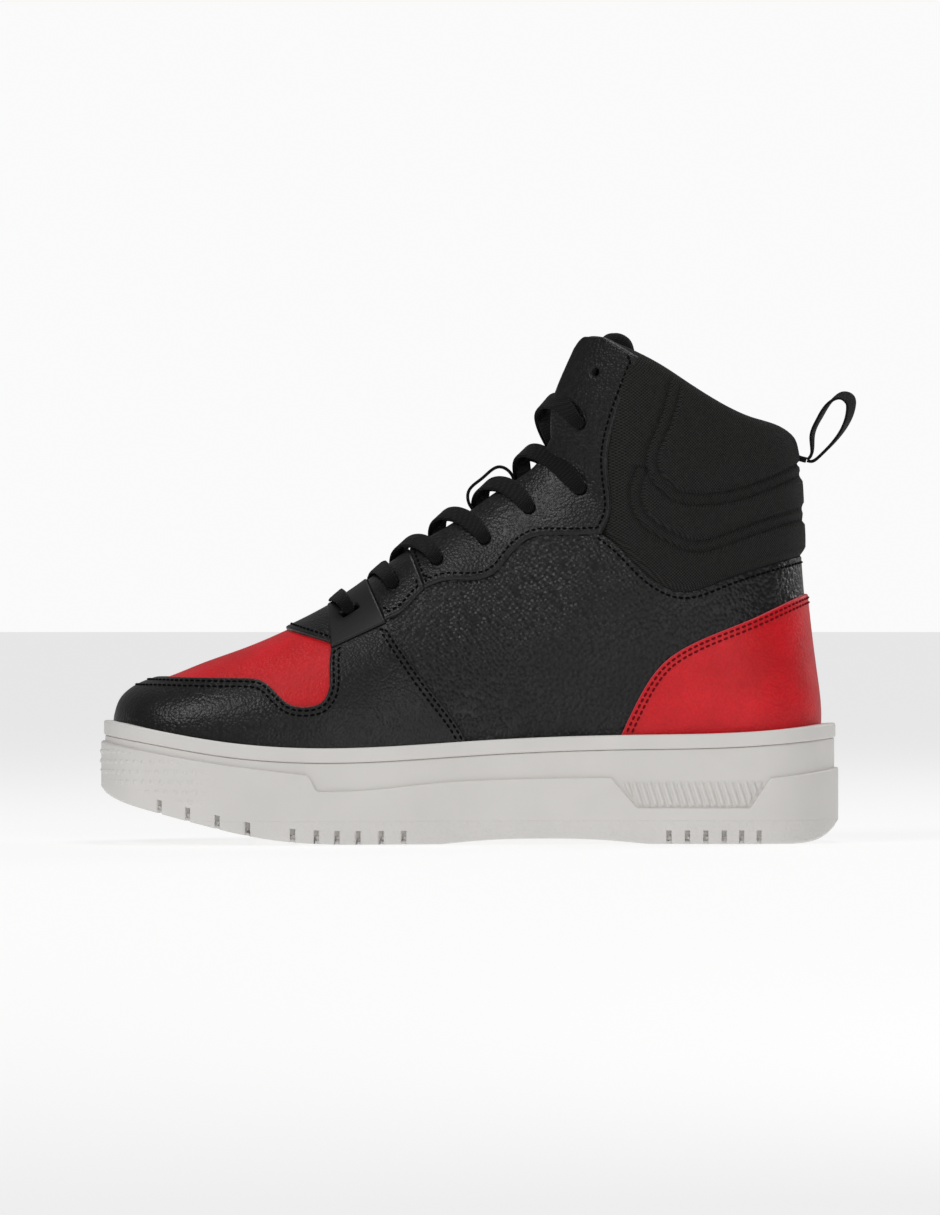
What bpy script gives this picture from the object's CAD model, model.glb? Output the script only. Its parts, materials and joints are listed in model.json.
import json
import math

import bpy
import numpy as np
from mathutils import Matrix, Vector
from mathutils.bvhtree import BVHTree


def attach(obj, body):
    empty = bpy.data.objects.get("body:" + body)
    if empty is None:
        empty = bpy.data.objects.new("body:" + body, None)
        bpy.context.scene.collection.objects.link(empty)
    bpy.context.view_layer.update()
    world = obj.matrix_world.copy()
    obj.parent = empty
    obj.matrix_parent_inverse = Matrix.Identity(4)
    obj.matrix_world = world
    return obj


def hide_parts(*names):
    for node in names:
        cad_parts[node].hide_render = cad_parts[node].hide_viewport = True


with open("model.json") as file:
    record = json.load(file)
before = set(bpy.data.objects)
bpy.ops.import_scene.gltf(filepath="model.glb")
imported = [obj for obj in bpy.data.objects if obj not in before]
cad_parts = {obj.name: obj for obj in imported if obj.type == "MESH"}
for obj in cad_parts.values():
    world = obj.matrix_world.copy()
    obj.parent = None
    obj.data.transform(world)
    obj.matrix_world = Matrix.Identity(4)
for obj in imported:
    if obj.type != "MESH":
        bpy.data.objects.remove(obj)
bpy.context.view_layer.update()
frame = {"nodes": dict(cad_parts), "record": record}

# Lengths are in millimetres in the shoe's own pattern: toe towards -X, medial side -Y, +Z up.
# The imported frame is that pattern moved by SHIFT, and in metres.
MM = 0.001
REST = next(m for m in frame["record"]["mounts"] if m["name"] == "tread_rest")["pos_m"]
SHIFT = np.array(REST) / MM - np.array([-19.0, 0.0, 0.0])

# ---- layer depths, from the outer face of the base leather ----
BOND, OVERLAY, LEATHER = 0.1, 1.4, 1.6
TOP = BOND + OVERLAY
KEEPER_TOP = TOP + 0.5
LINING_DEPTH, COLLAR_DEPTH, COLLAR_PUFF = -4.0, -6.9, 0.9
TONGUE_TOP, TONGUE_BOTTOM = -11.1, -18.7

# ridge x, z; keel x, z; medial and lateral half width; height share of the widest point;
# squareness below and above it; how far the section's plane moves forward with an offset
SECTIONS = np.array([
    (-143.4, 51.5, -143.4, 36.0, 10.0, 7.0, 0.35, 3.0, 2.4),
    (-141.8, 56.5, -141.8, 35.0, 18.0, 13.0, 0.35, 3.2, 2.4),
    (-138.5, 60.5, -138.5, 34.0, 26.0, 20.5, 0.35, 3.4, 2.4),
    (-132.5, 64.0, -132.5, 32.5, 34.0, 28.5, 0.35, 3.6, 2.4),
    (-124.0, 66.8, -124.0, 30.0, 40.0, 35.0, 0.33, 3.8, 2.4),
    (-110.0, 72.3, -110.0, 27.0, 44.3, 41.0, 0.32, 4.0, 2.3),
    (-92.0, 78.8, -92.0, 24.0, 47.2, 46.0, 0.30, 4.0, 2.2),
    (-74.0, 86.5, -74.0, 21.5, 48.0, 49.5, 0.28, 4.0, 2.1),
    (-56.0, 95.8, -56.0, 20.5, 47.3, 51.0, 0.27, 4.0, 2.0),
    (-39.0, 107.5, -37.0, 21.0, 44.5, 50.5, 0.26, 4.0, 1.95),
    (-22.0, 122.0, -15.0, 22.5, 40.5, 48.0, 0.26, 4.0, 1.95),
    (-5.0, 133.6, 12.0, 24.0, 37.0, 44.5, 0.27, 4.0, 2.0),
    (9.5, 144.0, 40.0, 25.5, 35.2, 41.5, 0.30, 4.0, 2.0),
    (19.5, 152.5, 72.0, 27.0, 35.5, 39.0, 0.34, 4.0, 2.0),
    (26.5, 160.0, 104.0, 28.0, 36.0, 38.0, 0.38, 3.8, 2.0),
    (29.3, 167.0, 133.0, 29.0, 35.5, 36.5, 0.41, 3.0, 2.0),
    (30.3, 174.0, 141.2, 45.0, 35.0, 36.0, 0.43, 2.5, 2.0),
    (31.2, 180.0, 140.0, 68.0, 34.5, 35.2, 0.45, 2.3, 2.0),
    (32.7, 186.0, 136.8, 94.0, 34.0, 34.5, 0.47, 2.2, 2.0),
    (35.3, 193.0, 134.8, 119.0, 33.5, 34.0, 0.49, 2.1, 2.0),
    (39.5, 202.0, 133.6, 144.0, 33.5, 34.0, 0.50, 2.1, 2.0),
    (47.0, 216.0, 131.0, 174.0, 34.0, 34.5, 0.50, 2.1, 2.0),
])

# ---- lines of the pattern, seen from the side ----
RIM = [(-156, 50.5), (-131, 46.5), (-101, 41.5), (-72, 39), (-42, 39), (4, 41.7), (61, 43.9), (111, 45.1),
       (156, 49)]
RIM_HEIGHT = 6.0
THROAT = [(-41.2, 105.7), (-24.5, 118.3), (-4.5, 130.5), (13, 143), (27, 152.8), (33.5, 164)]
THROAT_TOP = [(33.5, 164), (33.8, 177), (38, 189.6), (42.7, 200)]
TIP = [(42.7, 200), (47, 205), (54.7, 204.7)]
EYESTAY_TOP = [(54.7, 204.7), (68.4, 196.4)]
EYESTAY_BACK = [(68.4, 196.4), (62, 180.4), (57.6, 166.7), (55.8, 155), (56.8, 143), (57, 134.7), (53, 125.2)]
EYESTAY_FOOT = [(53, 125.2), (38, 124.6), (25, 123.6), (15.2, 115.2), (9.5, 108.9), (2.6, 106.6),
                (-10.9, 106), (-18.4, 103)]
LOWER_FOOT = [(-18.4, 103), (-22.5, 98.7), (-28, 93.2), (-34.2, 90.4)]
SEAM = [(-18.4, 103), (-24.5, 119.5)]
COLLAR_TOP = [(57, 203.4), (75.8, 194), (88.4, 186), (102, 178), (116, 172.2), (127, 169.2), (133.5, 165),
              (140, 156)]
COLLAR_FOOT = [(53, 125.2), (58.7, 121), (67.8, 111.8), (78, 103.8), (83.8, 101.7), (102, 106), (125, 113.5),
               (140, 117.6)]
HEEL_TOP = [(145, 104.5), (129.6, 98), (113.6, 90.6), (86, 78.6), (79.3, 74), (67.8, 58), (58, 37)]
MUDGUARD_TOP = [(-124, 66.3), (-108, 66.2), (-91.5, 66.2), (-83.6, 65.2), (-77.7, 60.3), (-71.8, 55.8),
                (-66.8, 55.1), (-59.9, 56.8), (-57, 61.3), (-56.5, 71.2), (-56, 78.1)]
MUDGUARD_BACK = [(-33.7, 88.5), (-14, 60), (-1.6, 42), (2, 30)]
KEEPER = [(-56, 78.1), (-33.7, 88.5), (-41.2, 105.7), (-49, 118), (-64, 108), (-57.6, 97.5)]
PATCH_SEAM = [(-75.5, 86.5), (-57, 81)]
CHANNELS = ([(83, 186), (78, 168), (73.5, 152), (77, 145.5), (84, 140), (92, 138.8), (111.6, 142), (128, 149),
             (139, 154)],
            [(69, 150), (67, 140), (70, 131.5), (80, 124), (90, 120), (103, 122.6), (120, 129), (139, 135)])
EYELETS = [(-30.4, 103.7), (-13, 113.7), (6.4, 122.2), (24.6, 134.8), (45.4, 142.7), (45.5, 169.6),
           (51.1, 190.5)]
SLOT = (-48.1, 92.9)
SLOT_HALF = np.array([3.75, 1.9])
EYELET_RADIUS = 1.75
COLLAR_ROLL = 3.9
THROAT_HALF_WIDTH, TONGUE_HALF_WIDTH = 8.5, 21.0
SIDES = {"medial": -1, "lateral": 1}


# ---- small geometry tools ----
def lengths(points):
    """The length along a line at each of its points."""
    return np.concatenate([[0], np.cumsum(np.linalg.norm(np.diff(points, axis=0), axis=1))])


def units(rows):
    """Rows scaled to length one."""
    return rows / np.maximum(np.linalg.norm(rows, axis=-1, keepdims=True), 1e-9)


def unit(v):
    return v / max(np.linalg.norm(v), 1e-9)


def quads(count, size):
    """The faces between closed rings that have the same number of points."""
    i, j = np.meshgrid(np.arange(count - 1), np.arange(size), indexing="ij")
    a, b = i * size + j, i * size + (j + 1) % size
    return np.stack([a, b, b + size, a + size], 2).reshape(-1, 4)


def raised(data, depth):
    """Skin points moved outward by a depth."""
    return data[:, :3] + data[:, 3:6] * np.asarray(depth)[..., None]


def spline(points, step=1.0):
    """A smooth line through points, evenly sampled, by a natural cubic in each coordinate."""
    p = np.array(points, float)
    if len(p) < 3:
        n = max(2, int(np.linalg.norm(p[-1] - p[0]) / step) + 1)
        return p[0] + (p[-1] - p[0]) * np.linspace(0, 1, n)[:, None]
    t = lengths(p)
    return natural_cubic(t, p, np.linspace(0, t[-1], max(2, int(t[-1] / step) + 1)))


def natural_cubic(t, y, at):
    h = np.diff(t)
    n = len(t)
    a = np.eye(n)
    b = np.zeros_like(y)
    for i in range(1, n - 1):
        a[i, i - 1:i + 2] = h[i - 1], 2 * (h[i - 1] + h[i]), h[i]
        b[i] = 6 * ((y[i + 1] - y[i]) / h[i] - (y[i] - y[i - 1]) / h[i - 1])
    m = np.linalg.solve(a, b)
    k = np.clip(np.searchsorted(t, at) - 1, 0, n - 2)
    d0, d1, hk = (at - t[k])[:, None], (t[k + 1] - at)[:, None], h[k][:, None]
    return (m[k] * d1 ** 3 + m[k + 1] * d0 ** 3) / (6 * hk) + (y[k] / hk - m[k] * hk / 6) * d1 \
        + (y[k + 1] / hk - m[k + 1] * hk / 6) * d0


def closed(*runs):
    """A closed outline of smooth runs, joined by straight lines."""
    return np.concatenate([spline(run) if len(run) > 1 else np.array(run, float) for run in runs])


def line_distance(points, line, is_closed=False):
    """Distance from each side-view point to a line."""
    starts = line if is_closed else line[:-1]
    ends = np.roll(line, -1, axis=0) if is_closed else line[1:]
    best = np.full(len(points), 1e9)
    for start, end in zip(starts, ends):
        d = end - start
        t = np.clip(((points - start) @ d) / max(d @ d, 1e-12), 0, 1)
        best = np.minimum(best, np.linalg.norm(points - start - t[:, None] * d, axis=1))
    return best


def inside(points, outline):
    x, z = points[:, 0], points[:, 1]
    result = np.zeros(len(points), bool)
    for (x0, z0), (x1, z1) in zip(outline, np.roll(outline, -1, axis=0)):
        if z0 == z1:
            continue
        crosses = (z0 > z) != (z1 > z)
        result ^= crosses & (x < (x1 - x0) * (z - z0) / (z1 - z0) + x0)
    return result


def signed(points, outline):
    """Distance inside an outline, negative outside it."""
    low, high = outline.min(0) - 12, outline.max(0) + 12
    near = ((points > low) & (points < high)).all(1)
    result = np.full(len(points), -12.0)
    d = line_distance(points[near], outline, True)
    result[near] = np.where(inside(points[near], outline), d, -d)
    return result


# ---- the shoe's skin: a dense grid of points and outward directions ----
def ring(row, count=180):
    tx, tz, bx, bz, medial, lateral, widest, low, high = row
    top, bottom = np.array([tx, 0, tz]), np.array([bx, 0, bz])
    height = np.linalg.norm(top - bottom)
    up = (top - bottom) / height
    angle = np.radians(np.linspace(0, 180, 1441))
    lower = angle <= math.pi / 2
    power = np.where(lower, low, high)
    reach = np.where(lower, -widest * height, (1 - widest) * height)
    along = reach * np.abs(np.cos(angle)) ** (2 / power)
    across = np.abs(np.sin(angle)) ** (2 / power)
    halves = []
    for half_width in (lateral, medial):
        curve = np.stack([along, half_width * across], 1)
        length = lengths(curve)
        even = np.linspace(0, length[-1], count + 1)
        halves.append(np.stack([np.interp(even, length, curve[:, i]) for i in (0, 1)], 1))
    halves[1][:, 1] *= -1
    flat = np.concatenate([halves[0], halves[1][-2:0:-1]])
    centre = bottom + up * widest * height
    return centre + flat[:, :1] * up + flat[:, 1:] * np.array([0, 1, 0])


def skin_grid():
    middle = (SECTIONS[:, :2] + SECTIONS[:, 2:4]) / 2
    step = sum(np.linalg.norm(np.diff(line, axis=0), axis=1) for line in (SECTIONS[:, :2], SECTIONS[:, 2:4]))
    t = np.concatenate([[0], np.cumsum(step / 2)])
    rows = natural_cubic(t, SECTIONS, np.linspace(0, t[-1], 330))
    nose = rows[0].copy()
    tip = []
    for share in (0.25, 0.6, 0.85):
        row = nose.copy()
        centre = (nose[1] + nose[3]) / 2
        row[1] = centre + (nose[1] - centre) * share
        row[3] = centre + (nose[3] - centre) * share
        row[4:6] *= share
        row[[0, 2]] -= 0.5 * (1 - share ** 2)
        tip.append(row)
    grid = np.array([ring(row) for row in (*tip, *rows)])
    du = np.gradient(grid, axis=0)
    dv = np.roll(grid, -1, axis=1) - np.roll(grid, 1, axis=1)
    normal = units(np.cross(dv, du))
    centre = grid.mean(axis=1, keepdims=True)
    if ((grid - centre) * normal).sum() < 0:
        normal = -normal
    return grid, normal


GRID, NORMAL = skin_grid()
ROWS, COLUMNS = GRID.shape[:2]


def skin_triangles():
    faces = quads(ROWS, COLUMNS)
    triangles = np.concatenate([faces[:, [0, 1, 2]], faces[:, [0, 2, 3]]])
    p, n = GRID.reshape(-1, 3), NORMAL.reshape(-1, 3)
    q = p[triangles]
    facing = (np.cross(q[:, 1] - q[:, 0], q[:, 2] - q[:, 0]) * n[triangles[:, 0]]).sum(1)
    if np.median(facing) < 0:
        triangles = triangles[:, ::-1]
    return triangles


TRIANGLES = skin_triangles()
SKIN = np.concatenate([GRID.reshape(-1, 3), NORMAL.reshape(-1, 3)], 1)
SIDE_VIEW = SKIN[:, [0, 2]]
FIELD = 6  # the column after a skin point's place and direction
SKIN_TREE = BVHTree.FromPolygons([Vector(p) for p in SKIN[:, :3]], TRIANGLES.tolist())


def on_skin(place, side, depth=0.0):
    """The skin's point and outward direction at a side-view place on one side."""
    hit, _, face, _ = SKIN_TREE.ray_cast(Vector((place[0], side * 200, place[1])), Vector((0, -side, 0)))
    if hit is None:
        hit, _, face, _ = SKIN_TREE.find_nearest(Vector((place[0], 0, place[1])))
    normal = NORMAL.reshape(-1, 3)[TRIANGLES[face]].mean(0)
    normal /= np.linalg.norm(normal)
    return np.array(hit) + normal * depth, normal


def split(data, triangles, column, level):
    """Cuts triangles along a level of one column, so that none crosses it."""
    above = data[triangles, column] > level
    count = above.sum(1)
    whole = triangles[(count == 0) | (count == 3)]
    mixed = (count == 1) | (count == 2)
    cut, flags = triangles[mixed], above[mixed]
    if not len(cut):
        return data, triangles
    lone = np.where(flags.sum(1) == 1, flags.argmax(1), (~flags).argmax(1))
    order = (lone[:, None] + np.arange(3)) % 3
    a, b, c = np.take_along_axis(cut, order, 1).T
    ends = np.sort(np.concatenate([np.stack([a, b], 1), np.stack([a, c], 1)]), axis=1)
    edges, number = np.unique(ends, axis=0, return_inverse=True)
    number = number.reshape(-1)
    f0, f1 = data[edges[:, 0], column], data[edges[:, 1], column]
    t = np.clip((level - f0) / np.where(f1 == f0, 1, f1 - f0), 0, 1)[:, None]
    fresh = data[edges[:, 0]] * (1 - t) + data[edges[:, 1]] * t
    fresh[:, column] = level
    ab, ac = len(data) + number[:len(a)], len(data) + number[len(a):]
    pieces = [whole, np.stack([a, ab, ac], 1), np.stack([ab, b, c], 1), np.stack([ab, c, ac], 1)]
    return np.concatenate([data, fresh]), np.concatenate(pieces)


def make_mesh(name, points, faces, material, attributes=None):
    """A Blender object from pattern points, with its number attributes."""
    mesh = bpy.data.meshes.new(name)
    mesh.from_pydata(((np.asarray(points) + SHIFT) * MM).tolist(), [], [list(map(int, f)) for f in faces])
    for key, values in (attributes or {}).items():
        layer = mesh.attributes.new(key, "FLOAT", "POINT")
        layer.data.foreach_set("value", np.asarray(values, np.float32))
    mesh.polygons.foreach_set("use_smooth", [True] * len(mesh.polygons))
    mesh.update()
    piece = bpy.data.objects.new(name, mesh)
    bpy.context.scene.collection.objects.link(piece)
    piece.data.materials.append(material)
    return piece


def patch(field, levels):
    """The skin where a field is positive, cut cleanly at its edge and along some levels."""
    data = np.concatenate([SKIN, field[:, None]], 1)
    triangles = TRIANGLES[(field[TRIANGLES] > 0).any(1)]
    for level in (0.0, *levels):
        data, triangles = split(data, triangles, FIELD, level)
    triangles = triangles[(data[triangles, FIELD] >= -1e-9).all(1)]
    used, triangles = np.unique(triangles, return_inverse=True)
    return data[used], triangles.reshape(-1, 3)


def directed_edges(triangles):
    return np.concatenate([triangles[:, [0, 1]], triangles[:, [1, 2]], triangles[:, [2, 0]]])


def open_edges(triangles):
    """Directed edges with one face."""
    directed = directed_edges(triangles)
    _, number, uses = np.unique(np.sort(directed, 1), axis=0, return_inverse=True, return_counts=True)
    return directed[uses[number.reshape(-1)] == 1]


def rounded(distance, radius):
    """How far a rounded edge falls below its face at a distance from the edge."""
    d = np.clip(distance, 0, radius)
    return radius - np.sqrt(np.maximum(radius ** 2 - (radius - d) ** 2, 0))


def plate(name, field, top, bottom, material, radius):
    """A skin piece with thickness: rounded outer edge, side walls down to its bottom."""
    data, triangles = patch(field, (0.12 * radius, 0.35 * radius, 0.7 * radius, radius))
    distance = data[:, FIELD]
    depth = np.full(len(data), top) - rounded(distance, radius)
    points = raised(data, depth)
    rim = open_edges(triangles)
    ends, number = np.unique(rim, return_inverse=True)
    low = raised(data[ends], bottom)
    number = number.reshape(-1, 2) + len(points)
    walls = np.stack([rim[:, 1], rim[:, 0], number[:, 0], number[:, 1]], 1)
    edge = np.concatenate([distance, np.zeros(len(ends))])
    faces = triangles.tolist() + walls.tolist()
    return make_mesh(name, np.concatenate([points, low]), faces, material, {"edge": edge})


def isoline(field, level, keep):
    """Chains of skin points where a field passes a level, as far as a test keeps them."""
    data = np.concatenate([SKIN, field[:, None]], 1)
    crossing = TRIANGLES[((field[TRIANGLES] > level).sum(1) % 3) > 0]
    data, triangles = split(data, crossing, FIELD, level)
    on = data[:, FIELD] == level
    directed = directed_edges(triangles)
    directed = directed[on[directed].all(1)]
    joined = {}
    for a, b in np.unique(np.sort(directed, 1), axis=0):
        joined.setdefault(int(a), []).append(int(b))
        joined.setdefault(int(b), []).append(int(a))
    chains, seen = [], set()
    starts = sorted(joined, key=lambda v: len(joined[v]))
    for start in starts:
        if start in seen:
            continue
        chain, at = [start], start
        seen.add(start)
        while True:
            nexts = [v for v in joined[at] if v not in seen]
            if not nexts:
                break
            at = nexts[0]
            seen.add(at)
            chain.append(at)
        if len(chain) > 3:
            points = data[chain, :6]
            good = keep(points)
            cuts = np.flatnonzero(np.diff(good.astype(int))) + 1
            runs = zip(np.split(points, cuts), np.split(good, cuts))
            chains += [run for run, flags in runs if flags[0] and len(run) > 3]
    return chains


def resampled(points, spacing):
    length = lengths(points[:, :3])
    count = max(int(round(length[-1] / spacing)), 1)
    at = (np.arange(count) + 0.5) * length[-1] / count
    return np.stack([np.interp(at, length, points[:, i]) for i in range(points.shape[1])], 1)


STITCH_PITCH, STITCH_LENGTH, STITCH_WIDTH, STITCH_HEIGHT = 2.6, 2.0, 1.0, 0.5
STITCH_SHAPE = [(-1.0, 0.0), (-0.82, 0.62), (-0.4, 0.95), (0.4, 0.95), (0.82, 0.62), (1.0, 0.0)]


def stitches(name, chains, depth, material):
    """Short thread capsules along chains of skin points."""
    points, faces = [], []
    for chain in chains:
        even = resampled(chain, STITCH_PITCH)
        if len(even) < 2:
            continue
        for spot, direction in zip(even, units(np.gradient(even[:, :3], axis=0))):
            normal = spot[3:6] / np.linalg.norm(spot[3:6])
            across = np.cross(normal, direction)
            centre = spot[:3] + normal * depth
            base = len(points)
            for reach, girth in STITCH_SHAPE:
                for angle in np.arange(6) * math.pi / 3:
                    offset = across * (math.cos(angle) * girth * STITCH_WIDTH / 2)
                    offset = offset + normal * (math.sin(angle) * girth * STITCH_HEIGHT)
                    points.append(centre + direction * reach * STITCH_LENGTH / 2 + offset)
            faces += (base + quads(len(STITCH_SHAPE), 6)).tolist()
    return make_mesh(name, points, faces, material)


# ---- materials ----
class Nodes:
    """A material's node tree, built with short calls."""

    def __init__(self, name, color, roughness, **sockets):
        self.material = bpy.data.materials.new(name)
        self.material.use_nodes = True
        self.tree = self.material.node_tree
        self.shader = self.tree.nodes["Principled BSDF"]
        self.shader.inputs["Base Color"].default_value = (*color, 1)
        self.shader.inputs["Roughness"].default_value = roughness
        for key, value in sockets.items():
            self.shader.inputs[key.replace("_", " ")].default_value = value
        self.place = self.new("ShaderNodeTexCoord").outputs["Object"]

    def new(self, kind, **settings):
        node = self.tree.nodes.new(kind)
        for key, value in settings.items():
            setattr(node, key, value)
        return node

    def join(self, source, target):
        if isinstance(source, (int, float)):
            target.default_value = source
        else:
            self.tree.links.new(source, target)

    def math(self, operation, a, b=0.0):
        node = self.new("ShaderNodeMath", operation=operation)
        self.join(a, node.inputs[0])
        self.join(b, node.inputs[1])
        return node.outputs[0]

    def noise(self, size_mm, detail=3.0, rough=0.55):
        node = self.new("ShaderNodeTexNoise")
        self.join(self.place, node.inputs["Vector"])
        node.inputs["Scale"].default_value = 1000.0 / size_mm
        node.inputs["Detail"].default_value = detail
        node.inputs["Roughness"].default_value = rough
        return node.outputs["Fac"]

    def cells(self, size_mm):
        node = self.new("ShaderNodeTexVoronoi", feature="F1")
        self.join(self.place, node.inputs["Vector"])
        node.inputs["Scale"].default_value = 1000.0 / size_mm
        return node.outputs["Distance"]

    def ramp(self, value, low, high, to_low=0.0, to_high=1.0):
        node = self.new("ShaderNodeMapRange", clamp=True)
        self.join(value, node.inputs["Value"])
        for key, number in (("From Min", low), ("From Max", high), ("To Min", to_low), ("To Max", to_high)):
            node.inputs[key].default_value = number
        return node.outputs["Result"]

    def attribute(self, name):
        return self.new("ShaderNodeAttribute", attribute_name=name).outputs["Fac"]

    def axis(self, name):
        node = self.new("ShaderNodeSeparateXYZ")
        self.join(self.place, node.inputs[0])
        return node.outputs[name]

    def mix(self, amount, dark, light):
        node = self.new("ShaderNodeMix", data_type="RGBA")
        self.join(amount, node.inputs["Factor"])
        for socket, color in ((node.inputs["A"], dark), (node.inputs["B"], light)):
            if isinstance(color, tuple):
                socket.default_value = (*color, 1)
            else:
                self.tree.links.new(color, socket)
        return node.outputs["Result"]

    def color(self, value):
        self.tree.links.new(value, self.shader.inputs["Base Color"])

    def rough(self, value):
        self.join(value, self.shader.inputs["Roughness"])

    def bump(self, layers):
        """Adds (height, distance in mm) layers of relief."""
        before = None
        for height, distance in layers:
            node = self.new("ShaderNodeBump")
            node.inputs["Distance"].default_value = distance * MM
            node.inputs["Strength"].default_value = 1.0
            self.join(height, node.inputs["Height"])
            if before is not None:
                self.tree.links.new(before, node.inputs["Normal"])
            before = node.outputs["Normal"]
        self.tree.links.new(before, self.shader.inputs["Normal"])
        return self.material


def leather(name, dark, light, cut_edge, grain_mm, grain_depth, crease_depth, roughness, crease_tone=0.75):
    """Leather with a pebbled grain, soft creases, worn highlights and a paler cut edge."""
    n = Nodes(name, light, roughness, Specular_IOR_Level=0.32)
    cell = n.cells(grain_mm)
    grain = n.ramp(cell, 0.05, 0.75, 1.0, 0.0)
    fine = n.noise(0.5, 2.0)
    cloud = n.noise(26.0, 4.0, 0.6)
    crease = n.noise(7.0, 5.0, 0.62)
    tone = n.mix(n.ramp(cloud, 0.35, 0.7), dark, light)
    tone = n.mix(n.ramp(cell, 0.42, 0.72, 0.0, crease_tone), tone, tuple(0.35 * c for c in dark))
    edge = n.ramp(n.attribute("edge"), 0.17, 0.28, 1.0, 0.0)
    n.color(n.mix(edge, tone, cut_edge))
    wear = n.math("ADD", cloud, n.math("MULTIPLY", fine, 0.3))
    n.rough(n.ramp(wear, 0.45, 0.85, roughness + 0.07, roughness - 0.06))
    return n.bump([(crease, crease_depth), (grain, grain_depth), (fine, 0.05)])


def woven(name, dark, light, pitch_mm, depth, roughness, sheen):
    """A basket weave of threads running across and up the piece."""
    n = Nodes(name, dark, roughness, Sheen_Weight=sheen, Specular_IOR_Level=0.12)
    turns = 2 * math.pi / (pitch_mm * MM)
    wobble = n.math("MULTIPLY", n.noise(6.0, 2.0), 0.0006)
    u = n.math("ADD", n.math("ADD", n.axis("X"), n.math("MULTIPLY", n.axis("Y"), 0.8)), wobble)
    v = n.math("ADD", n.axis("Z"), wobble)
    across = n.math("SINE", n.math("MULTIPLY", u, turns))
    up = n.math("SINE", n.math("MULTIPLY", v, turns))
    weave = n.math("MULTIPLY", across, up)
    ridge = n.math("ADD", n.math("ABSOLUTE", across), n.math("ABSOLUTE", up))
    height = n.math("ADD", n.math("MULTIPLY", weave, 0.5), n.math("MULTIPLY", ridge, 0.35))
    slub = n.noise(1.6, 3.0)
    tone = n.ramp(n.math("ADD", weave, n.math("MULTIPLY", slub, 0.9)), -0.6, 1.5)
    n.color(n.mix(tone, dark, light))
    return n.bump([(n.noise(14.0, 3.0), 0.5), (height, depth), (slub, 0.08)])


def rubber(name, color, roughness, strip=False):
    """Moulded rubber with a faint mottle, and a fine leathery texture low down if asked."""
    n = Nodes(name, color, roughness, Specular_IOR_Level=0.35)
    cloud = n.noise(30.0, 4.0)
    n.color(n.mix(n.ramp(cloud, 0.3, 0.75), tuple(0.93 * c for c in color), color))
    layers = [(n.noise(1.2, 3.0), 0.05)]
    if strip:
        low = n.ramp(n.axis("Z"), 9.2 * MM, 9.6 * MM, 1.0, 0.0)
        layers.append((n.math("MULTIPLY", n.ramp(n.cells(1.5), 0.0, 0.6), low), 0.16))
    return n.bump(layers)


def thread(name, color):
    n = Nodes(name, color, 0.9, Specular_IOR_Level=0.1)
    n.color(n.mix(n.noise(0.8, 2.0), tuple(0.6 * c for c in color), color))
    return n.bump([(n.noise(0.35, 1.0), 0.12)])


def grey(value):
    return (value, value, value)


WORN_BLACK = (0.035, 0.034, 0.033)
SOLE_WHITE = (0.71, 0.69, 0.665)
SMOOTH = leather("smooth_black_leather", grey(0.0030), (0.0085, 0.0084, 0.0082), WORN_BLACK,
                 1.2, 0.13, 0.4, 0.36)
TUMBLED = leather("tumbled_black_leather", grey(0.0035), (0.0095, 0.0094, 0.0092), WORN_BLACK,
                  1.9, 0.42, 0.5, 0.36)
RED = leather("red_leather", (0.52, 0.0020, 0.006), (0.70, 0.0035, 0.012), (0.60, 0.08, 0.10), 1.1, 0.10, 0.4,
              0.42, 0.14)
COLLAR_CLOTH = woven("collar_cloth", grey(0.0008), (0.040, 0.039, 0.037), 1.25, 0.5, 0.9, 0.03)
LINING_CLOTH = woven("lining_cloth", grey(0.0010), grey(0.0050), 1.4, 0.25, 0.9, 0.05)
WEBBING_CLOTH = woven("webbing_cloth", grey(0.0010), grey(0.0050), 1.1, 0.25, 0.9, 0.05)
LACE_CLOTH = woven("lace_cloth", grey(0.0010), grey(0.0070), 1.15, 0.3, 0.85, 0.05)
KEEPER_RUBBER = rubber("keeper_rubber", (0.005, 0.005, 0.0055), 0.45)
SOLE_RUBBER = rubber("sole_rubber", SOLE_WHITE, 0.5, strip=True)
SOLE_FOAM = rubber("sole_foam", SOLE_WHITE, 0.55)
BLACK_THREAD = thread("black_thread", grey(0.0008))
RED_THREAD = thread("red_thread", (0.20, 0.004, 0.008))
HIDDEN = {
    "steel": rubber("steel_shank", (0.5, 0.5, 0.52), 0.35),
    "board": rubber("fibre_board", (0.42, 0.34, 0.24), 0.8),
    "stiffener": rubber("stiffener_sheet", grey(0.006), 0.8),
    "aglet_plastic": rubber("aglet_plastic", grey(0.01), 0.25),
    "lining": LINING_CLOTH,
}


def place(piece, body, slot, *nodes):
    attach(piece, body)
    if nodes:
        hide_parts(*nodes)


# ---- fields: distances inside each pattern piece, on the whole skin ----
def field(*runs):
    return signed(SIDE_VIEW, closed(*runs))


def side_field(side):
    return SKIN[:, 1] * side


def eyelet_field():
    """Distance outside the nearest lace hole."""
    best = np.full(len(SKIN), 99.0)
    for side in SIDES.values():
        for spot in EYELETS:
            centre, normal = on_skin(spot, side)
            offset = SKIN[:, :3] - centre
            across = offset - (offset @ normal)[:, None] * normal
            near = np.linalg.norm(offset, axis=1) < 12
            distance = np.where(near, np.linalg.norm(across, axis=1) - EYELET_RADIUS, 99)
            best = np.minimum(best, distance)
    return best


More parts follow.
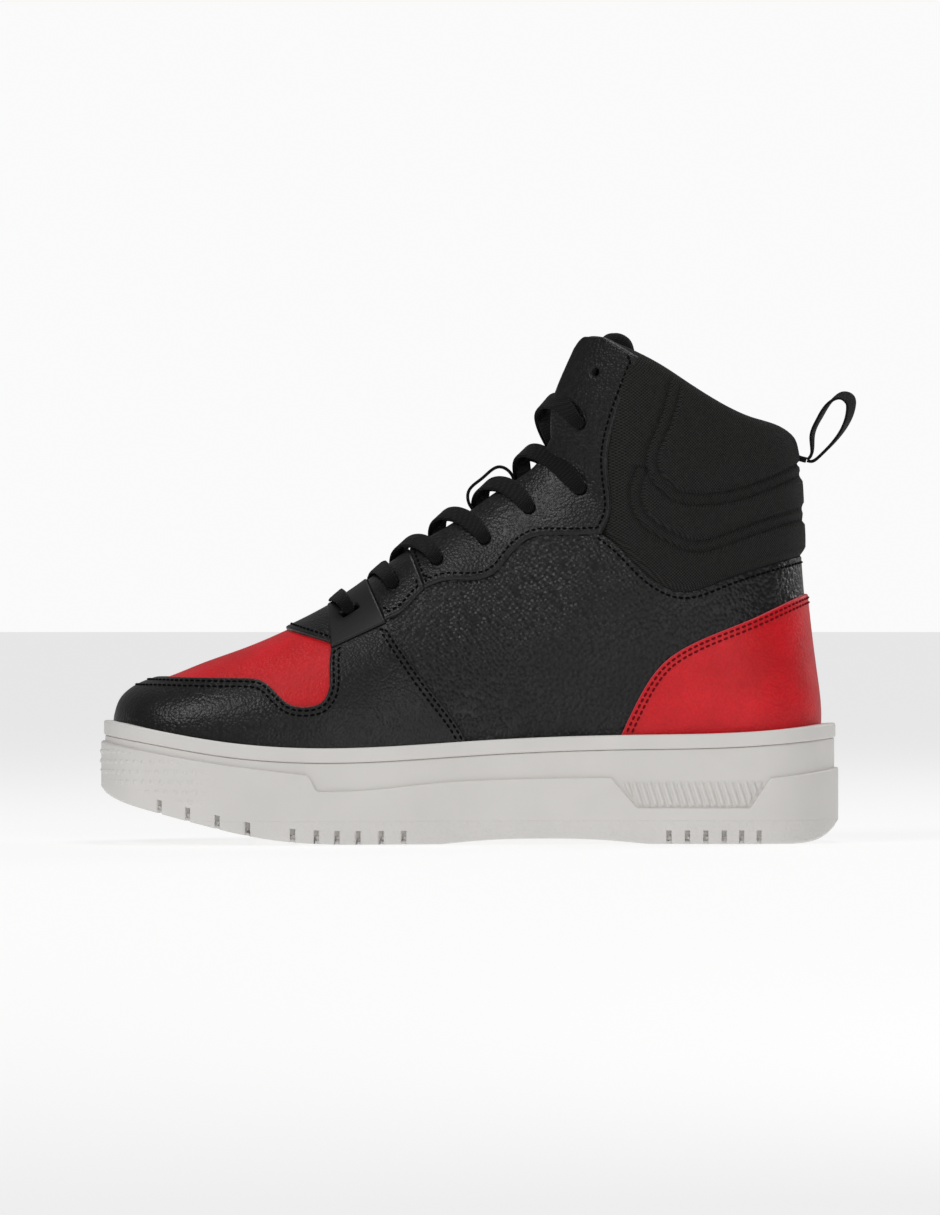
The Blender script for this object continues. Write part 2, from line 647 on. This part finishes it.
def slot_field():
    """Distance outside the lace keeper's slots."""
    best = np.full(len(SKIN), 99.0)
    for side in SIDES.values():
        centre, normal = on_skin(SLOT, side)
        along = np.array([0.72, 0, 0.69])
        along -= along @ normal * normal
        along /= np.linalg.norm(along)
        across = np.cross(normal, along)
        offset = SKIN[:, :3] - centre
        q = np.abs(np.stack([offset @ along, offset @ across], 1)) - SLOT_HALF
        distance = np.linalg.norm(np.maximum(q, 0), axis=1) + np.minimum(q.max(1), 0)
        best = np.minimum(best, np.where(np.linalg.norm(offset, axis=1) < 14, distance, 99))
    return best


ROOF = [[(54.7, 240)], [(-60, 240)], [(-46, 112)]]
THROAT_GAP = field(THROAT, THROAT_TOP, TIP, *ROOF)
HOLES = np.minimum(eyelet_field(), slot_field())
UPPER = field(THROAT, THROAT_TOP, TIP, EYESTAY_TOP, COLLAR_TOP[1:], [(165, 150)], [(165, 30)], [(-170, 30)],
              [(-170, 100)], [(-60, 128)], [(-46, 112)])
LOW = SIDE_VIEW[:, 1] - np.interp(SIDE_VIEW[:, 0], *zip(*RIM)) + RIM_HEIGHT
COLLAR = field(COLLAR_FOOT, [(165, 117.6)], [(165, 156)], COLLAR_TOP[::-1], EYESTAY_BACK)
TUCKED_FOOT = [(49, 121), (56, 116), (64, 107), (76, 99), (84, 97), (102, 101), (125, 108.5), (140, 112.6)]
COLLAR_TUCKED = field(TUCKED_FOOT, [(165, 112.6)], [(165, 156)], COLLAR_TOP[::-1], [(52, 205)], [(50, 170)])
EYESTAY = field(EYESTAY_FOOT, SEAM, [(-34, 130)], [(20, 225)], TIP[1:], EYESTAY_TOP, EYESTAY_BACK)
LOWER_EYESTAY = field(SEAM[::-1], LOWER_FOOT, [(-33.7, 88.5)], [(-41.2, 105.7)], [(-44, 128)])
HEEL = field(HEEL_TOP, [(58, 20)], [(170, 20)], [(170, 104.5)])
MUDGUARD = field([(-170, 66.3)], MUDGUARD_TOP, MUDGUARD_BACK, [(2, 20)], [(-170, 20)])
KEEPER_FIELD = field(*[[corner] for corner in KEEPER])
THROAT_PATCH = field(PATCH_SEAM[::-1], [(-90, 125)], [(-62, 112)], [(-54, 97.5)], [(-53, 79)])
VAMP = field([(-170, 25)], [(-19, 18), (-44.5, 84), (-47, 112)], [(-60, 128)], [(-170, 100)])


def channel_lift(data):
    """Sewn channels sink into the padded collar, and the pads between them swell."""
    points = data[:, [0, 2]]
    lift = np.zeros(len(data))
    for channel in CHANNELS:
        distance = line_distance(points, spline(channel, 2.0))
        lift -= 1.5 * np.exp(-((distance - 2.3) / 0.8) ** 2) + 0.7 * np.exp(-(distance / 2.6) ** 2)
    edges = np.minimum(data[:, FIELD], 14) / 14
    return lift + 1.3 * np.sin(np.clip(edges, 0, 1) * math.pi / 2)


def leather_piece(node, f, top, bottom, material, radius, slot):
    """A plate that takes the place of the node of the same name."""
    place(plate(f"{node}_leather", f, top, bottom, material, radius), "shoe", slot, node)


def quarters():
    for name, side in SIDES.items():
        f = np.minimum.reduce([UPPER, LOW, -VAMP, side_field(side), HOLES, -COLLAR])
        leather_piece(f"quarter_{name}", f, 0.0, -LEATHER, TUMBLED, 0.5, "tumbled_leather")


def vamp():
    f = np.minimum.reduce([UPPER, LOW, VAMP, slot_field() - 2.5])
    leather_piece("vamp", f, 0.0, -LEATHER, RED, 0.4, "red_leather")


def overlays():
    """Pieces sewn over the base leather, each sunk a little into it."""
    sunk = BOND - 0.5
    mud = np.minimum.reduce([MUDGUARD, LOW, UPPER + 3])
    leather_piece("mudguard", mud, TOP, sunk, SMOOTH, 0.8, "smooth_leather")
    leather_piece("heel_overlay", np.minimum(HEEL, LOW), TOP, sunk, RED, 0.8, "red_leather")
    leather_piece("throat_patch", np.minimum(THROAT_PATCH, 9), TOP, sunk, SMOOTH, 0.7, "smooth_leather")
    keeper = np.minimum(KEEPER_FIELD, slot_field())
    saddle = plate("lace_keeper_saddle", keeper, KEEPER_TOP, sunk, KEEPER_RUBBER, 0.9)
    place(saddle, "shoe", "keeper_rubber", "lace_keeper")
    for name, side in SIDES.items():
        low = np.minimum.reduce([LOWER_EYESTAY, -THROAT_GAP, side_field(side), HOLES])
        leather_piece(f"eyestay_lower_{name}", low, TOP, sunk, SMOOTH, 0.9, "smooth_leather")
        high = np.minimum.reduce([EYESTAY, -THROAT_GAP, side_field(side), HOLES])
        leather_piece(f"eyestay_upper_{name}", high, TOP + 0.15, BOND - 3.0, SMOOTH, 1.2, "smooth_leather")


def above_foot(data, front):
    """Distance above the quarter's top edge, with the area closed in front at an x."""
    return signed(data[:, [0, 2]], closed(COLLAR_FOOT, [(165, 117.6)], [(165, 240)], [(front, 240)]))


def collar():
    """The padded collar: quilted outer cloth rolled over its top edge."""
    data, triangles = patch(COLLAR_TUCKED, (0.1, 0.4, 1.0, 2.0, COLLAR_ROLL))
    top_distance = line_distance(data[:, [0, 2]], spline(COLLAR_TOP, 1.0))
    depth = COLLAR_PUFF - rounded(top_distance, COLLAR_ROLL)
    front = np.clip((data[:, 0] - 50) / 14, 0, 1)
    swell = channel_lift(data) * np.clip(top_distance / 6, 0, 1) * front
    lower = np.clip(above_foot(data, 50) / 3.0, 0, 1)
    depth = np.where(top_distance > COLLAR_ROLL, COLLAR_PUFF, depth)
    depth = depth + swell * lower - (1 - lower) * 1.6 - (1 - front) * 2.2
    points = raised(data, depth)
    piece = make_mesh("collar_quilted_cloth", points, triangles, COLLAR_CLOTH)
    place(piece, "shoe", "collar_textile", "collar_panel", "collar_foam")


def inner_lining():
    """The lining of the foot and the padded collar, as one inner skin."""
    f = np.minimum(UPPER, np.where(SIDE_VIEW[:, 1] > 25, 40, SIDE_VIEW[:, 1] - 25))
    slit = (np.abs(SKIN[:, 1]) < THROAT_HALF_WIDTH) & (THROAT_GAP > -24) & (SKIN[:, 0] < 60)
    f = np.where(slit | (f < 0), np.minimum(f, -0.5), np.minimum(f, 40))
    data, triangles = patch(f, (0.3, 1.0, 2.0, COLLAR_ROLL))
    top_distance = line_distance(data[:, [0, 2]], spline(COLLAR_TOP, 1.0))
    share = np.clip(above_foot(data, 57) / 14, 0, 1)
    depth = LINING_DEPTH + (COLLAR_DEPTH - LINING_DEPTH) * (1 - np.cos(share * math.pi)) / 2
    rolled = depth + rounded(top_distance, COLLAR_ROLL) * share ** 0.3
    depth = np.where((top_distance < COLLAR_ROLL) & (data[:, 0] > 56), rolled, depth)
    points = raised(data, depth)
    piece = make_mesh("foot_lining_cloth", points, triangles[:, ::-1], LINING_CLOTH)
    place(piece, "shoe", "lining_textile", "lining", "collar_lining")


def tongue():
    """The padded tongue: closed and pillow-edged, with its rolled top above the collar."""
    edge = [(-36, 92), (-20, 101), (0, 112), (20, 126), (38, 141), (50, 160), (57, 180), (66.5, 199)]
    tip = [(66.5, 199), (64.5, 204.5), (61, 206.7), (56.4, 206.2), (48, 207.5)]
    half = (TONGUE_TOP - TONGUE_BOTTOM) / 2
    middle = (TONGUE_TOP + TONGUE_BOTTOM) / 2
    core = raised(SKIN, middle)
    f = signed(core[:, [0, 2]], closed(edge, tip, [(20, 225)], [(-25, 160)], [(-44, 113)]))
    f = np.minimum(f, TONGUE_HALF_WIDTH - np.abs(core[:, 1]))
    data, triangles = patch(f, (0.15, 0.6, 1.4, 2.6, half))
    bulge = half - rounded(data[:, FIELD], half)
    crown = 0.7 * np.sin(np.clip((data[:, FIELD] - 5) / 8, 0, 1) * math.pi / 2)
    outer = raised(data, middle + bulge + crown)
    inner = raised(data, middle - bulge)
    count = len(outer)
    rim = np.flatnonzero(data[:, FIELD] <= 1e-9)
    match = np.arange(count) + count
    match[rim] = rim
    faces = np.concatenate([triangles, match[triangles][:, ::-1]])
    points = np.concatenate([outer, inner])
    used, faces = np.unique(faces, return_inverse=True)
    piece = make_mesh("tongue_padded_cloth", points[used], faces.reshape(-1, 3), LINING_CLOTH)
    place(piece, "tongue", "lining_textile", "tongue_outer", "tongue_foam", "tongue_lining")


def near(points, line, reach):
    """Which skin points lie within reach of a line of the pattern."""
    return line_distance(points[:, [0, 2]], spline(line)) < reach


def above_rim(points):
    return points[:, 2] > np.interp(points[:, 0], *zip(*RIM)) + 0.5


def sew(name, rows, depth, material=BLACK_THREAD):
    place(stitches(f"{name}_stitches", rows, depth, material), "shoe", "webbing")


def seams():
    """Rows of stitches along the pattern's edges."""
    mud = np.minimum(MUDGUARD, UPPER + 3)
    rows = []
    for inset in (1.6, 3.6):
        rows += isoline(mud, inset, lambda q: above_rim(q) & (near(q, MUDGUARD_TOP[3:], 5) | (q[:, 0] < -82)))
    for inset in (1.7, 3.7):
        rows += isoline(mud, inset, lambda q: above_rim(q) & near(q, MUDGUARD_BACK, 5))
    sew("mudguard", rows, TOP + 0.05)
    rows = []
    for inset in (1.5, 3.4):
        rows += isoline(HEEL, inset, lambda q: above_rim(q) & (q[:, 0] > 59))
    sew("heel_overlay", rows, TOP + 0.05, RED_THREAD)
    rows = isoline(EYESTAY, 2.2, lambda q: near(q, EYESTAY_FOOT, 5) | near(q, EYESTAY_BACK, 5))
    rows += isoline(LOWER_EYESTAY, 2.0, lambda q: near(q, LOWER_FOOT, 4.5))
    rows += isoline(EYESTAY, 1.6, lambda q: near(q, SEAM, 3) & (q[:, 2] < 118.5))
    sew("eyestay", rows, TOP + 0.15)
    sew("quarter_top", isoline(-COLLAR, 2.4, lambda q: near(q, COLLAR_FOOT, 4) & (q[:, 2] < 124)), 0.05)
    sew("throat_patch", isoline(THROAT_PATCH, 1.8, lambda q: near(q, PATCH_SEAM, 4)), TOP + 0.05)


# ---- bands and ribbons ----
def ribbon(name, path, across, widths, thicknesses, material):
    """A flat band with rounded edges along a path, with its width along given directions."""
    tangent = units(np.gradient(path, axis=0))
    across = units(across - (across * tangent).sum(1, keepdims=True) * tangent)
    face = np.cross(tangent, across)
    turn = np.linspace(0, 2 * math.pi, 17)[:-1]
    u = np.sign(np.cos(turn)) * np.abs(np.cos(turn)) ** 0.35
    v = np.sign(np.sin(turn)) * np.abs(np.sin(turn)) ** 0.75
    points = path[:, None] + across[:, None] * (u * 0.5)[None, :, None] * widths[:, None, None] \
        + face[:, None] * (v * 0.5)[None, :, None] * thicknesses[:, None, None]
    count, size = points.shape[:2]
    faces = quads(count, size).tolist()
    faces += [list(range(size))[::-1], [(count - 1) * size + k for k in range(size)]]
    return make_mesh(name, points.reshape(-1, 3), faces, material)


def side_band(name, line, width, thickness, material, twist=0.0):
    """A band along side-view points, its width across the shoe, turned a little by a twist."""
    flat = spline(line, 0.5)
    path = np.stack([flat[:, 0], np.zeros(len(flat)), flat[:, 1]], 1)
    turn = twist * np.sin(np.linspace(0, math.pi, len(path)))
    across = np.stack([turn, np.ones(len(path)), 0.8 * turn], 1)
    size = np.ones(len(path))
    return ribbon(name, path, across, width * size, thickness * size, material)


PULL_LOOP_ROOT = np.array([138.2, 155.4])
PULL_LOOP_WIDTH, TONGUE_LOOP_WIDTH, WEBBING = 10.0, 9.0, 1.3


def loops():
    """The pull loop with its sewn anchor, and the tongue's lace loop."""
    anchor = PULL_LOOP_ROOT + np.array([(-5.5, 1.2), (-3.0, 0.4), (-1.3, 0.0)])
    band = side_band("pull_loop_anchor_webbing", anchor, PULL_LOOP_WIDTH, 2.3, WEBBING_CLOTH)
    place(band, "shoe", "webbing", "pull_loop_tab")
    shape = [(-0.7, 0.25), (0.0, 0.85), (1.2, 9.5), (4.0, 16.8), (6.9, 21.6), (10.1, 24.8), (13.6, 26.0),
             (16.4, 24.7), (16.9, 21.0), (15.3, 15.5), (12.5, 10.6), (8.6, 5.9), (4.6, 1.9), (0.2, -0.55),
             (-0.7, -0.25)]
    outline = PULL_LOOP_ROOT + np.array(shape)
    band = side_band("heel_pull_loop_webbing", outline, PULL_LOOP_WIDTH, WEBBING, WEBBING_CLOTH, 0.45)
    place(band, "pull_loop", "webbing", "pull_loop")
    arch = [(18.5, 144.5), (16.2, 150.5), (12.4, 152.6), (5, 148), (-0.7, 142.2), (-0.5, 138), (4.5, 132.5)]
    band = side_band("tongue_lace_loop_webbing", arch, TONGUE_LOOP_WIDTH, WEBBING, WEBBING_CLOTH)
    place(band, "tongue", "webbing", "tongue_lace_loop")


# ---- lace ----
THROAT_NORMAL = np.array([-0.66, 0, 0.75])
LACE_WIDTH, LACE_THICK = 7.6, 1.5
TAIL = [(52.5, 161), (53.5, 148), (49.5, 137), (36, 127.5), (18, 118.5)]


def ridge(spot, depth):
    """The middle of the throat above a side-view place."""
    start = np.array([spot[0], 0, spot[1]]) + THROAT_NORMAL * 60
    hit, _, _, _ = SKIN_TREE.ray_cast(Vector(start), Vector(-THROAT_NORMAL))
    return np.array(hit) + THROAT_NORMAL * depth


def half_lace(side):
    """Control points of half of the lace: place, direction across it, width and thickness."""
    rows = []

    def add(point, across, width=LACE_WIDTH, thick=LACE_THICK):
        rows.append((*point, *across, width, thick))

    def dive(spot, at, across, rise=0.0):
        point, normal = on_skin(spot, at)
        add(point + normal * (TOP + rise + 1.0), across, 5.0, 1.6)
        add(point + normal * 0.3, across, 2.9, 2.4)
        add(point - normal * 5.6, across, 5.0, 1.8)

    def across_at(normal, travel):
        return unit(np.cross(unit(normal), unit(travel)))

    saddle = ridge(SLOT, KEEPER_TOP + 1.3)
    slot_point, slot_normal = on_skin(SLOT, side)
    first = across_at(THROAT_NORMAL, slot_point - saddle)
    add(saddle, first)
    dive(SLOT, side, across_at(slot_normal, slot_point - saddle), 0.5)
    here, over = side, side
    places = [SLOT] + EYELETS[:-1]
    for number, (low, high) in enumerate(zip(places, places[1:])):
        share = 0.9 if number == 0 else 0.5
        middle = np.array(low) + (np.array(high) - np.array(low)) * share
        crossing = ridge(middle, 1.9 if over > 0 else -0.6)
        target, normal = on_skin(high, -here)
        before = np.array(rows[-1][:3])
        add(crossing, across_at(THROAT_NORMAL, target - before))
        here, over = -here, -over
        edge, edge_normal = on_skin((high[0] - 5.0, high[1] + 6.0), here, TOP + 1.2)
        add(edge, across_at(edge_normal + 0.4 * THROAT_NORMAL, target - crossing))
        dive(high, here, across_at(normal, target - edge))
    for number, spot in enumerate(TAIL):
        point, normal = on_skin(spot, here, -6.4 - 0.4 * number)
        add(point, across_at(normal, point - np.array(rows[-1][:3])), 6.0, 1.5)
    return np.array(rows)


def laces():
    """The whole flat lace, both halves from the saddle on the lace keeper."""
    joined = np.concatenate([half_lace(-1)[:0:-1], half_lace(1)])
    for i in range(1, len(joined)):
        if joined[i, 3:6] @ joined[i - 1, 3:6] < 0:
            joined[i, 3:6] *= -1
    t = lengths(joined[:, :3])
    at = np.linspace(0, t[-1], int(t[-1] / 0.8))
    path = natural_cubic(t, joined[:, :3], at)
    flat = np.stack([np.interp(at, t, joined[:, i]) for i in range(3, 8)], 1)
    piece = ribbon("flat_lace", path, flat[:, :3], flat[:, 3], flat[:, 4], LACE_CLOTH)
    place(piece, "shoe", "webbing", "lace")


# ---- sole unit ----
SOLE_PLAN = [(-150, -6), (-147.3, -23), (-139, -38), (-122, -47.5), (-92, -53), (-60, -53), (-20, -46),
             (20, -40.8), (60, -39.6), (100, -41), (128, -36.5), (144.5, -22), (150, 0), (145.5, 20),
             (132, 34.5), (110, 42), (76, 44.8), (40, 47.6), (0, 52.5), (-40, 57), (-70, 56), (-100, 50.5),
             (-126, 39.5), (-142, 24), (-148.8, 9)]
TREAD = [(-156, 27), (-147, 20), (-131, 14), (-111, 8.7), (-91.5, 4), (-71.8, 1), (-52, 0)]
ARCH = [(-12, 0), (10, 1.8), (30, 2.2), (50, 1.8), (72, 0)]
HEEL_TREAD = [(130, 0), (142, 2.2), (149, 7.5), (156, 14)]
BUMPER = [(-156, 42.5), (-148.9, 41), (-101.4, 32.4), (-64.8, 27.9)]
WALL_TOP = [(-61.5, 21.3), (-42, 21.8), (-12.5, 24.7), (4, 25.7), (57, 26.7)]
WINDOW = [(57, 26.7), (67.5, 14.5), (113, 14.5), (121.5, 26.5)]
HEEL_WALL_TOP = [(121.5, 26.5), (137, 28.2), (156, 31.5)]
NOTCHES = [-125, -113.5, -101.6, -89.3, -71.2, -61.6, -53.3, -44.8, -35.5, -26.5,
           80.1, 87.6, 95, 102.4, 109.5, 116.6]
NOTCH_WIDTH, NOTCH_HEIGHT, NOTCH_DEPTH = 2.0, 5.5, 2.4
WALL_STEP, FOXING_STEP = 1.3, 1.5


def profile(*runs):
    line = np.concatenate([spline(run, 0.5) if len(run) > 2 else np.array(run, float) for run in runs])
    return line[np.argsort(line[:, 0], kind="stable")]


GROUND = profile(TREAD, ARCH, HEEL_TREAD)
EDGE_TOP = profile(BUMPER, WALL_TOP, WINDOW[1:3], HEEL_WALL_TOP)
RIM_LINE = profile(RIM)


def height(line, x):
    return np.interp(x, line[:, 0], line[:, 1])


def sole_columns():
    """Places round the sole's plan with inward directions, with samples at every notch's sides."""
    loop = np.array(SOLE_PLAN[-4:] + SOLE_PLAN + SOLE_PLAN[:5], float)
    t = lengths(loop)
    start, end = t[4], t[4 + len(SOLE_PLAN)]
    dense = np.linspace(start, end, 6001)
    curve = natural_cubic(t, loop, dense)
    detailed = (curve[:, 0] < -98) | ((curve[:, 0] > 55) & (curve[:, 0] < 124))
    wanted = [dense[:-1:10], dense[:-1:3][detailed[:-1:3]]]
    for x in NOTCHES:
        for shift in (-1, 1):
            for gap in (-0.06, 0.06):
                edge = x + shift * NOTCH_WIDTH / 2 + gap
                sign = np.sign(curve[:, 0] - edge)
                cross = np.flatnonzero(sign[1:] * sign[:-1] < 0)
                f = (edge - curve[cross, 0]) / (curve[cross + 1, 0] - curve[cross, 0])
                wanted.append(dense[cross] + f * (dense[1] - dense[0]))
    at = np.unique(np.concatenate(wanted))
    places = natural_cubic(t, loop, at)
    along = np.gradient(curve, axis=0)
    inward = units(np.stack([np.interp(at, dense, column) for column in (-along[:, 1], along[:, 0])], 1))
    if (inward * -places).sum() < 0:
        inward = -inward
    return places, inward


PLAN, INWARD = sole_columns()


def strips(name, rings, material, slot, *nodes):
    """A surface through rings that all follow the sole's plan."""
    points = np.stack(rings)
    count, size = points.shape[:2]
    faces = quads(count, size)
    p = points.reshape(-1, 3)
    middle = size * (count // 2)
    face = faces[middle]
    normal = np.cross(p[face[1]] - p[face[0]], p[face[3]] - p[face[0]])
    if normal[:2] @ INWARD[middle % size] > 0:
        faces = faces[:, ::-1]
    place(make_mesh(name, p, faces.tolist(), material), "shoe", slot, *nodes)


def ring_at(inset, z):
    flat = PLAN + INWARD * np.broadcast_to(inset, len(PLAN))[:, None]
    return np.concatenate([flat, np.broadcast_to(z, len(PLAN))[:, None]], 1)


def in_notch():
    return np.min([np.abs(PLAN[:, 0] - x) for x in NOTCHES], axis=0) < NOTCH_WIDTH / 2


def toe_dots(z):
    """Small raised pips over the toe bumper."""
    x = PLAN[:, 0]
    run = lengths(PLAN)
    pitch = 4.0
    row = np.round((z - 17.0) / pitch)
    shift = np.where(row % 2 == 0, 0.0, pitch / 2)
    du = (run + shift + pitch / 2) % pitch - pitch / 2
    dz = z - 17.0 - row * pitch
    bump = np.clip(1 - (du ** 2 + dz ** 2) / 1.1, 0, 1)
    fade = np.clip((-104 - x) / 6, 0, 1)
    below_top = np.clip((height(EDGE_TOP, x) - 1.5 - z) / 1.0, 0, 1)
    above_ground = np.clip((z - height(GROUND, x) - 6.5) / 1.0, 0, 1)
    return 0.55 * bump * fade * below_top * above_ground


def outsole():
    x = PLAN[:, 0]
    ground, top = height(GROUND, x), height(EDGE_TOP, x)
    notch = in_notch()
    spine_x = np.clip(x, -128, 124)
    middle = np.interp(spine_x, [-150, -120, -60, 0, 60, 120, 150], [0, -2, 1.5, 4.5, 3.0, 1.5, 0])
    spine = np.stack([spine_x, middle], 1)
    edge = PLAN + INWARD * 1.2
    rings = []
    for share in np.linspace(0, 1, 26):
        flat = spine + (edge - spine) * share
        z = height(GROUND, flat[:, 0])
        groove = np.min([np.abs(flat[:, 0] - g) for g in NOTCHES], axis=0) < NOTCH_WIDTH / 2 + 0.01
        z = z + 3.0 * groove * (share > 0.02)
        rings.append(np.concatenate([flat, z[:, None]], 1))
    for turn in np.radians([20, 45, 70, 90]):
        z = ground + 1.2 * (1 - math.cos(turn))
        inset = 1.2 * (1 - math.sin(turn)) + notch * NOTCH_DEPTH
        rings.append(ring_at(inset, z))
    rings.append(ring_at(notch * NOTCH_DEPTH, ground + NOTCH_HEIGHT - 0.1))
    rings.append(ring_at(0.0, ground + NOTCH_HEIGHT))
    low, high = ground + NOTCH_HEIGHT + 0.1, top - 0.8
    for share in np.linspace(0, 1, 72):
        z = low + (high - low) * share
        rings.append(ring_at(-toe_dots(z), z))
    for turn in np.radians([25, 50, 75, 90]):
        rings.append(ring_at(0.8 * (1 - math.cos(turn)), top - 0.8 + 0.8 * math.sin(turn)))
    rings.append(ring_at(WALL_STEP + 1.5, top))
    strips("rubber_cup_outsole", rings, SOLE_RUBBER, "sole_rubber", "outsole")


def slats(z):
    """Slanted ribs inside the heel window."""
    x = PLAN[:, 0]
    share = np.clip(np.minimum.reduce([x - 61, 118.5 - x, z - 15.2, 25.2 - z]) / 0.8, 0, 1)
    left = np.clip((x - (57 + (26.7 - z) * 0.86) - 1.5) / 0.8, 0, 1)
    right = np.clip(((121.5 - (26.5 - z) * 0.71) - x - 1.5) / 0.8, 0, 1)
    phase = ((x + (z - 20) * 0.32) % 3.0) / 3.0
    rib = np.clip((0.5 - np.abs(phase - 0.5)) * 6 - 0.9, 0, 1)
    return share * left * right * rib * 1.1


def midsole():
    x = PLAN[:, 0]
    low, groove = height(EDGE_TOP, x) - 1.5, height(RIM_LINE, x) - RIM_HEIGHT
    rings = [ring_at(WALL_STEP + 2.0, low)]
    for share in np.linspace(0, 1, 48):
        z = low + (groove - 0.7 - low) * share
        rings.append(ring_at(WALL_STEP + 0.35 - slats(z), z))
    for turn in np.radians([30, 60, 90]):
        inset = WALL_STEP + 0.35 + 0.7 * (1 - math.cos(turn))
        rings.append(ring_at(inset, groove - 0.7 + 0.7 * math.sin(turn)))
    rings.append(ring_at(WALL_STEP + 3.0, groove))
    strips("foam_midsole_wall", rings, SOLE_FOAM, "midsole_foam", "midsole")


def foxing():
    """The band round the top of the sole, butted on the medial waist."""
    x = PLAN[:, 0]
    top = height(RIM_LINE, x)
    low = top - RIM_HEIGHT
    butt = np.where((np.abs(x - 5.0) < 0.35) & (PLAN[:, 1] < 0), 0.5, 0.0)
    inner = []
    for (px, py), (nx, ny), z in zip(PLAN, INWARD, top):
        hit, _, _, _ = SKIN_TREE.ray_cast(Vector((px - nx * 5, py - ny * 5, z)), Vector((nx, ny, 0)))
        reach = (Vector((px, py, z)) - hit).length if hit is not None else 8.0
        inner.append(min(max(reach, FOXING_STEP + 1.0), 16.0))
    inner = np.array(inner) + 0.8
    rings = [ring_at(FOXING_STEP + 2.0, low + 0.05)]
    face = FOXING_STEP - 0.35
    for turn in np.radians([0, 30, 60, 90]):
        inset = face + 0.7 * (1 - math.sin(turn)) + butt
        rings.append(ring_at(inset, low + 0.1 + 0.7 * (1 - math.cos(turn))))
    for share in (0.2, 0.4, 0.6, 0.8):
        rings.append(ring_at(face + butt, low + RIM_HEIGHT * share))
    for turn in np.radians([0, 30, 60, 90]):
        rings.append(ring_at(face + 0.8 * (1 - math.cos(turn)) + butt, top - 0.8 + 0.8 * math.sin(turn)))
    for share in (0.5, 1.0):
        rings.append(ring_at(FOXING_STEP + 0.45 + (inner - FOXING_STEP - 0.45) * share, top - 0.3 * share))
    strips("foxing_band_rubber", rings, SOLE_FOAM, "sole_rubber", "foxing_band")


# ---- pieces kept from the model, inside the shoe ----
def hidden_pieces():
    kept = {"shank": "steel", "insole_board": "board", "toe_puff": "stiffener", "heel_counter": "stiffener",
            "eyelet_stay_medial": "stiffener", "eyelet_stay_lateral": "stiffener", "aglets": "aglet_plastic",
            "sockliner": "lining"}
    for node, kind in kept.items():
        mesh = frame["nodes"][node].data
        mesh.materials.clear()
        mesh.materials.append(HIDDEN[kind])


# ---- floor, lights and camera ----
def light(name, spot, aim, size, power):
    lamp = bpy.data.lights.new(name, "AREA")
    lamp.shape, lamp.size, lamp.size_y = "RECTANGLE", *size
    lamp.energy = power
    holder = bpy.data.objects.new(name, lamp)
    holder.location = spot
    holder.rotation_euler = (Vector(aim) - Vector(spot)).to_track_quat("-Z", "Y").to_euler()
    bpy.context.scene.collection.objects.link(holder)


def studio():
    floor_mesh = bpy.data.meshes.new("floor")
    ring_points = [(30 * math.cos(a), 30 * math.sin(a), 0) for a in np.linspace(0, 2 * math.pi, 65)[:-1]]
    floor_mesh.from_pydata(ring_points, [], [list(range(64))])
    floor = bpy.data.objects.new("floor", floor_mesh)
    bpy.context.scene.collection.objects.link(floor)
    floor.location.z = -0.0002
    pale = Nodes("floor", (0.25, 0.25, 0.25), 0.8, Emission_Color=(1, 1, 1, 1), Emission_Strength=0.72)
    floor_mesh.materials.append(pale.material)
    world = bpy.data.worlds.new("studio")
    bpy.context.scene.world = world
    world.use_nodes = True
    tree = world.node_tree
    tree.nodes["Background"].inputs["Color"].default_value = (1, 1, 1, 1)
    seen = tree.nodes.new("ShaderNodeLightPath").outputs["Is Camera Ray"]
    amount = tree.nodes.new("ShaderNodeMapRange")
    amount.inputs["To Min"].default_value = 0.22
    amount.inputs["To Max"].default_value = 0.96
    tree.links.new(seen, amount.inputs["Value"])
    tree.links.new(amount.outputs["Result"], tree.nodes["Background"].inputs["Strength"])
    light("key", (-1.0, -1.2, 1.5), (0, 0, 0.1), (0.8, 0.5), 13)
    light("front", (0.5, -1.9, 0.5), (0, 0, 0.1), (0.4, 1.0), 5)
    light("top", (0.2, 0.1, 1.5), (0, 0, 0.1), (1.2, 0.5), 9)
    light("rim", (1.4, 1.2, 0.9), (0, 0, 0.12), (0.6, 0.9), 7)
    camera = bpy.data.cameras.new("camera")
    camera.sensor_fit = "VERTICAL"
    camera.sensor_height = 36
    camera.lens = 254.5
    camera.clip_end = 100
    holder = bpy.data.objects.new("camera", camera)
    holder.location = (np.array([0.0, -3500.0, 95.3]) + SHIFT) * MM
    holder.rotation_euler = (math.pi / 2, 0, 0)
    bpy.context.scene.collection.objects.link(holder)
    bpy.context.scene.camera = holder
    bpy.context.scene.view_settings.view_transform = "Standard"


quarters()
vamp()
overlays()
collar()
inner_lining()
tongue()
seams()
loops()
laces()
outsole()
midsole()
foxing()
hidden_pieces()
studio()
bpy.context.view_layer.update()
